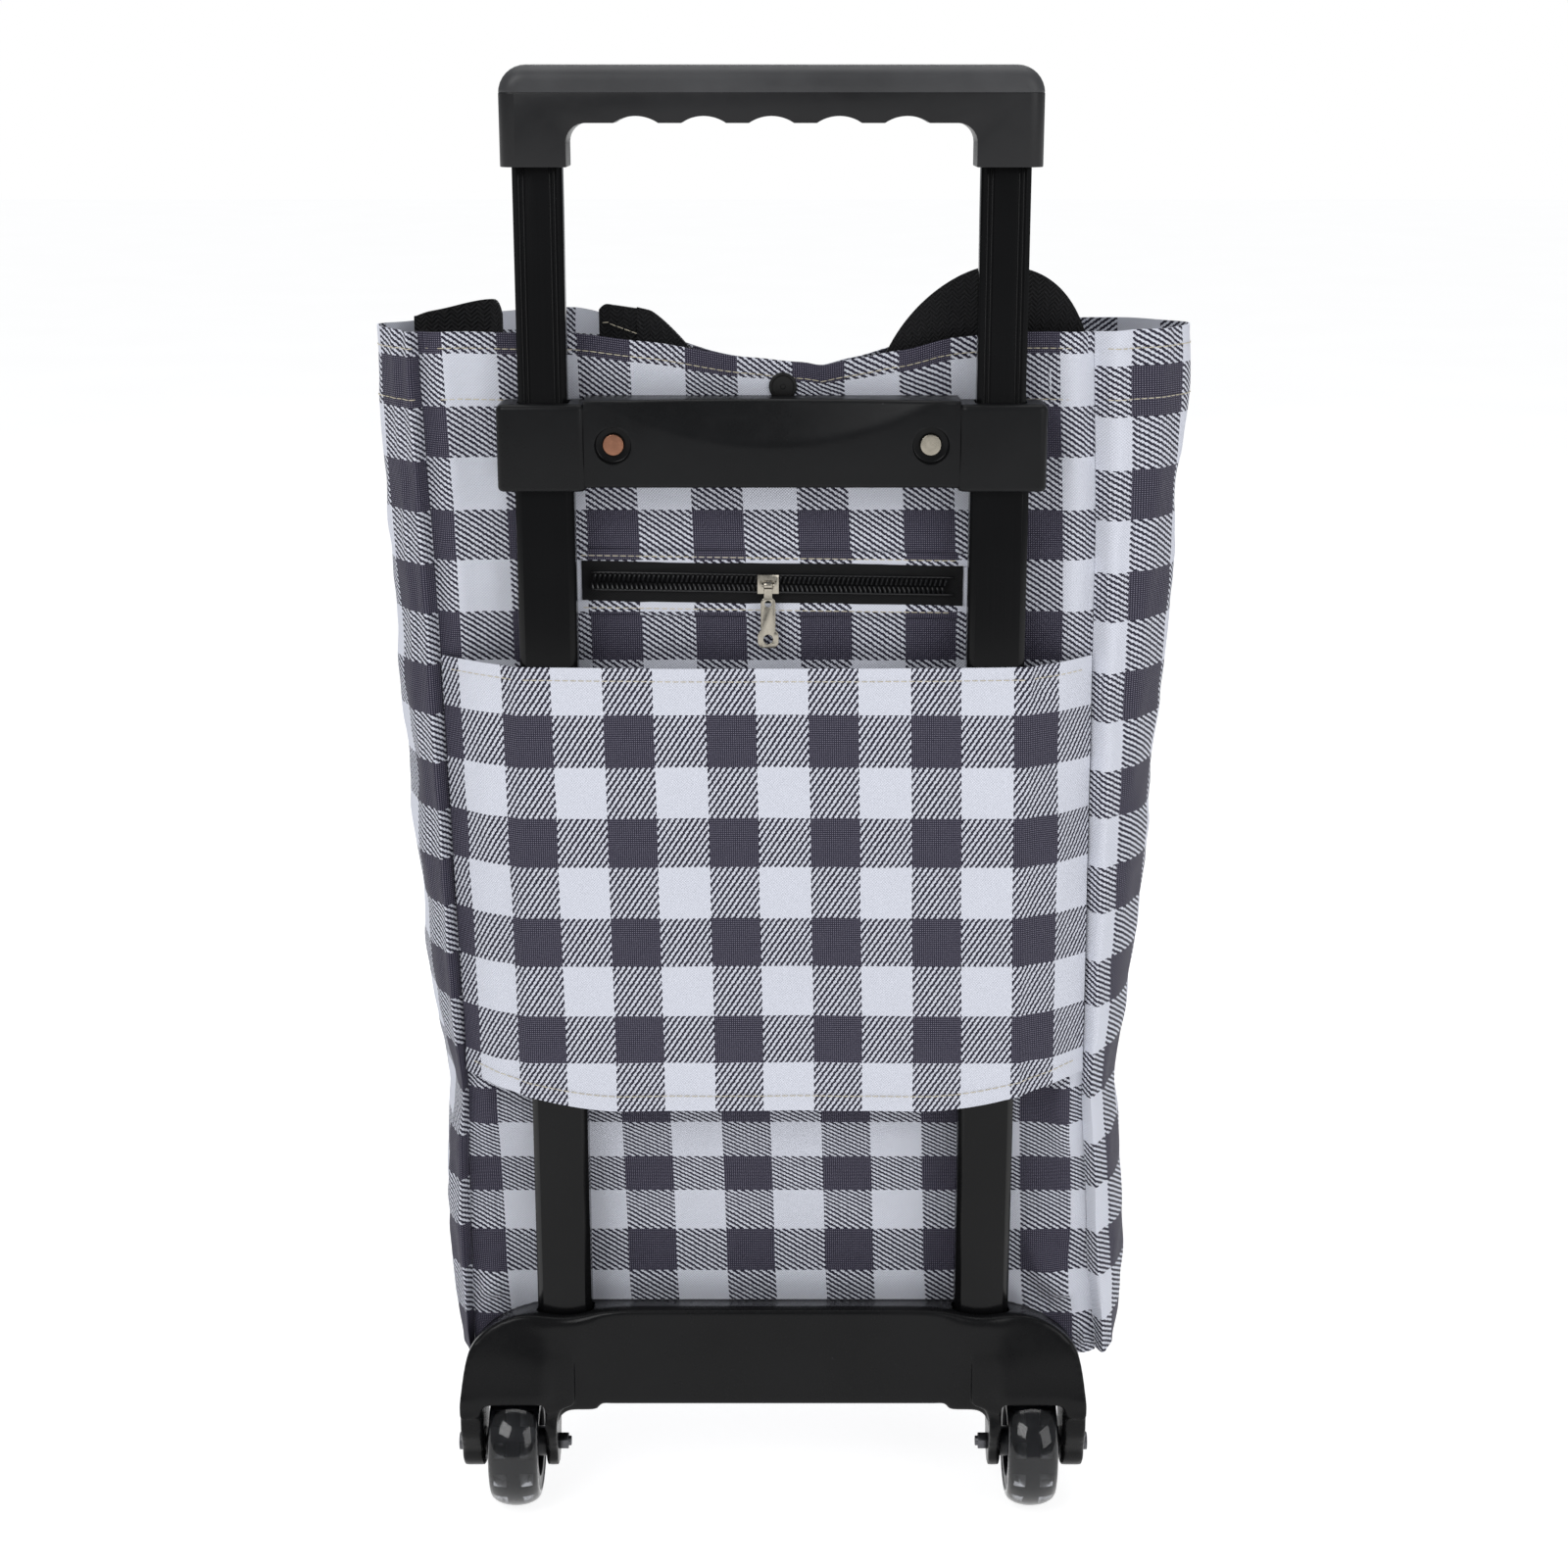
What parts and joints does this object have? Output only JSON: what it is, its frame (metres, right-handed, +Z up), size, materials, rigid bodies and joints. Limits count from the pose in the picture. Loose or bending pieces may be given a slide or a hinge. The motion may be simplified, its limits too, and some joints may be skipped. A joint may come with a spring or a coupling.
{
  "type": "folding shopping trolley",
  "caption": "Folding shopping trolley: telescopic handle, wheeled base beam, fold-up stand and checked cloth bag with a zip pouch.",
  "frame": {"origin": "on the floor, under the middle of the bounding box", "axes": "+Z up, +X to the right as seen from the puller's side, +Y from the handle tubes towards the bag's front"},
  "size_m": [0.3962, 0.2154, 0.709],
  "materials": {
    "grip_plastic": "satin moulded plastic",
    "grip_cap_plastic": "satin moulded plastic",
    "black_aluminium": "gloss black coated extrusion",
    "zinc_steel": "zinc plated",
    "natural_nylon": "moulded nylon",
    "spring_steel": "polished strip",
    "black_nylon": "moulded nylon",
    "crossbar_plastic": "satin moulded plastic",
    "copper_rivet": "turned copper-coloured metal",
    "nickel_rivet": "dull nickel",
    "beam_plastic": "fine matt moulded plastic",
    "hub_plastic": "moulded plastic",
    "clear_tyre": "clear polyurethane",
    "coated_steel": "black powder coat",
    "foot_rubber": "matt rubber",
    "floor_board": "pressed board",
    "gingham_cloth": "coated woven cloth, checked",
    "lining_cloth": "thin coated cloth",
    "zip_tape": "woven tape",
    "zip_coil": "nylon coil",
    "zip_metal": "dull nickel",
    "snap_plastic": "gloss moulded plastic",
    "webbing": "ribbed webbing"
  },
  "bodies": {
    "frame": {"outer_tube_left": "black_aluminium", "outer_tube_right": "black_aluminium", "guide_bush_left": "black_nylon", "guide_bush_right": "black_nylon", "crossbar": "crossbar_plastic", "crossbar_backing_plate": "zinc_steel", "rivet_left": "copper_rivet", "rivet_right": "nickel_rivet", "base_beam": "beam_plastic", "beam_rear_cover": "beam_plastic", "beam_cover_screws": "zinc_steel", "tube_foot_plugs": "zinc_steel", "bag_clamp_plate": "zinc_steel", "bag_clamp_screws": "zinc_steel", "axle_bolt_left": "zinc_steel", "axle_bolt_right": "zinc_steel", "axle_nut_left": "zinc_steel", "axle_nut_right": "zinc_steel", "stand_bracket_left": "beam_plastic", "stand_bracket_right": "beam_plastic", "bag_back_panel": "gingham_cloth", "bag_front_panel": "gingham_cloth", "bag_gusset_left": "gingham_cloth", "bag_gusset_right": "gingham_cloth", "bag_bottom_panel": "gingham_cloth", "sleeve_panel": "gingham_cloth", "pouch_lining": "lining_cloth", "zip_tape": "zip_tape", "zip_coil": "zip_coil", "snap_cap": "snap_plastic", "snap_socket": "snap_plastic", "snap_stud": "snap_plastic", "strap_left": "webbing", "strap_right": "webbing"},
    "handle": {"grip_lower": "grip_plastic", "grip_upper": "grip_cap_plastic", "inner_tube_left": "black_aluminium", "inner_tube_right": "black_aluminium", "grip_screws": "zinc_steel", "tube_shoe_left": "natural_nylon", "tube_shoe_right": "natural_nylon", "shoe_spring_left": "spring_steel", "shoe_spring_right": "spring_steel"},
    "wheel_left": {"wheel_hub_left": "hub_plastic", "wheel_bush_left": "natural_nylon", "wheel_tyre_left": "clear_tyre"},
    "wheel_right": {"wheel_hub_right": "hub_plastic", "wheel_bush_right": "natural_nylon", "wheel_tyre_right": "clear_tyre"},
    "stand": {"stand_frame": "coated_steel", "stand_foot_left": "foot_rubber", "stand_foot_right": "foot_rubber", "bottom_board": "floor_board", "board_clips": "black_nylon"},
    "zip_slider": {"zip_slider": "zip_metal"},
    "zip_puller": {"zip_puller": "zip_metal"}
  },
  "joints": [
    {"name": "handle_slide", "type": "slide", "parent": "frame", "child": "handle", "axis": [0, 0, 1], "range_m": [-0.104, 0.237]},
    {"name": "wheel_left_roll", "type": "hinge", "parent": "frame", "child": "wheel_left", "pos_m": [-0.1305, -0.07575, 0.032], "axis": [1, 0, 0], "continuous": true},
    {"name": "wheel_right_roll", "type": "hinge", "parent": "frame", "child": "wheel_right", "pos_m": [0.1305, -0.07575, 0.032], "axis": [1, 0, 0], "continuous": true},
    {"name": "stand_fold", "type": "hinge", "parent": "frame", "child": "stand", "pos_m": [0, -0.03775, 0.064], "axis": [1, 0, 0], "range_deg": [0, 90], "deforming": ["bag_front_panel", "bag_gusset_left", "bag_gusset_right", "bag_bottom_panel"]},
    {"name": "zip_slide", "type": "slide", "parent": "frame", "child": "zip_slider", "axis": [1, 0, 0], "range_m": [-0.08, 0.08]},
    {"name": "puller_swing", "type": "hinge", "parent": "zip_slider", "child": "zip_puller", "pos_m": [-0.002, -0.06085, 0.473], "axis": [-1, 0, 0], "range_deg": [0, 170]}
  ]
}
